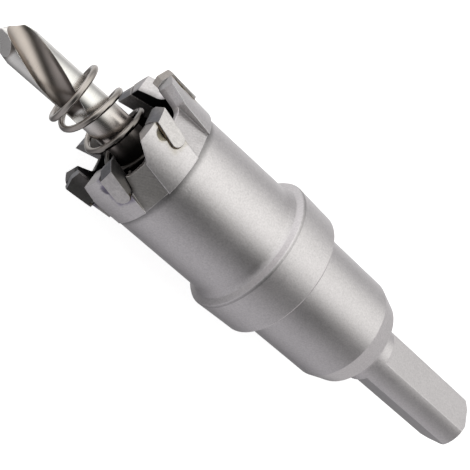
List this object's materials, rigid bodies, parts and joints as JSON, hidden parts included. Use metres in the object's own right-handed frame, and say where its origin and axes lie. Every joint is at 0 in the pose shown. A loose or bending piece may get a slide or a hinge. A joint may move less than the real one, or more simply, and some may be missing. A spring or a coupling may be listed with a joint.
{
  "type": "hole saw",
  "caption": "Carbide-tipped hole saw: a steel cup with brazed teeth, a stepped collar and a round shank with flats, holding a pilot drill inside an ejector spring.",
  "frame": {"origin": "centre of the flat end face of the shank, on the tool axis", "axes": "+X along the tool axis from the shank to the cutting end; +Z is the side that faces the picture's camera; the tool turns from +Z towards -Y when it cuts"},
  "size_m": [0.0988, 0.0226, 0.0226],
  "materials": {
    "body_steel": "fine blasted bare steel",
    "carbide": "ground sintered carbide, matte grey",
    "drill_steel": "ground bright high-speed steel",
    "spring_steel": "drawn spring wire, dark and glossy",
    "screw_steel": "black oxide"
  },
  "bodies": {
    "root": {"cutter_body": "body_steel", "carbide_tip_1": "carbide", "carbide_tip_2": "carbide", "carbide_tip_3": "carbide", "carbide_tip_4": "carbide", "carbide_tip_5": "carbide", "carbide_tip_6": "carbide", "pilot_drill": "drill_steel", "ejector_spring": "spring_steel", "set_screw": "screw_steel"}
  },
  "joints": []
}
